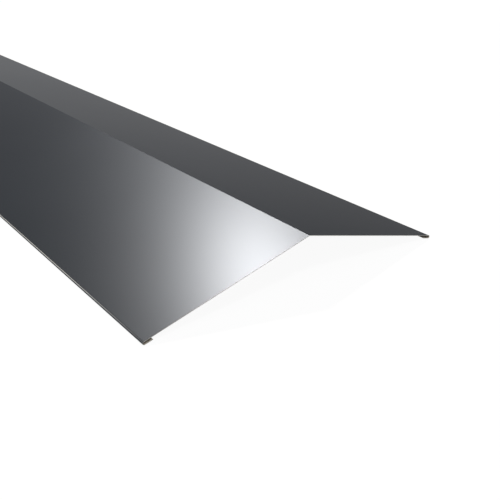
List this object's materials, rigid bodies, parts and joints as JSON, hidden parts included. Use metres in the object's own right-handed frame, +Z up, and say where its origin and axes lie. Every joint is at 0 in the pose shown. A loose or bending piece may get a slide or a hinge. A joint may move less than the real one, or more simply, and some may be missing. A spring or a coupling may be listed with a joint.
{
  "type": "roof ridge cap",
  "caption": "Flat ridge cap folded from one strip of coated sheet steel: two wings at 150 degrees, each with an open hem along its outer edge.",
  "frame": {"origin": "under the middle of the cap, halfway along it, on the level that its two hems rest on", "axes": "+X across the ridge to one wing, +Y along the ridge, +Z up"},
  "size_m": [0.3662, 2, 0.0521],
  "materials": {
    "graphite_coat": "satin"
  },
  "bodies": {
    "root": {"ridge_cap": "graphite_coat"}
  },
  "joints": []
}
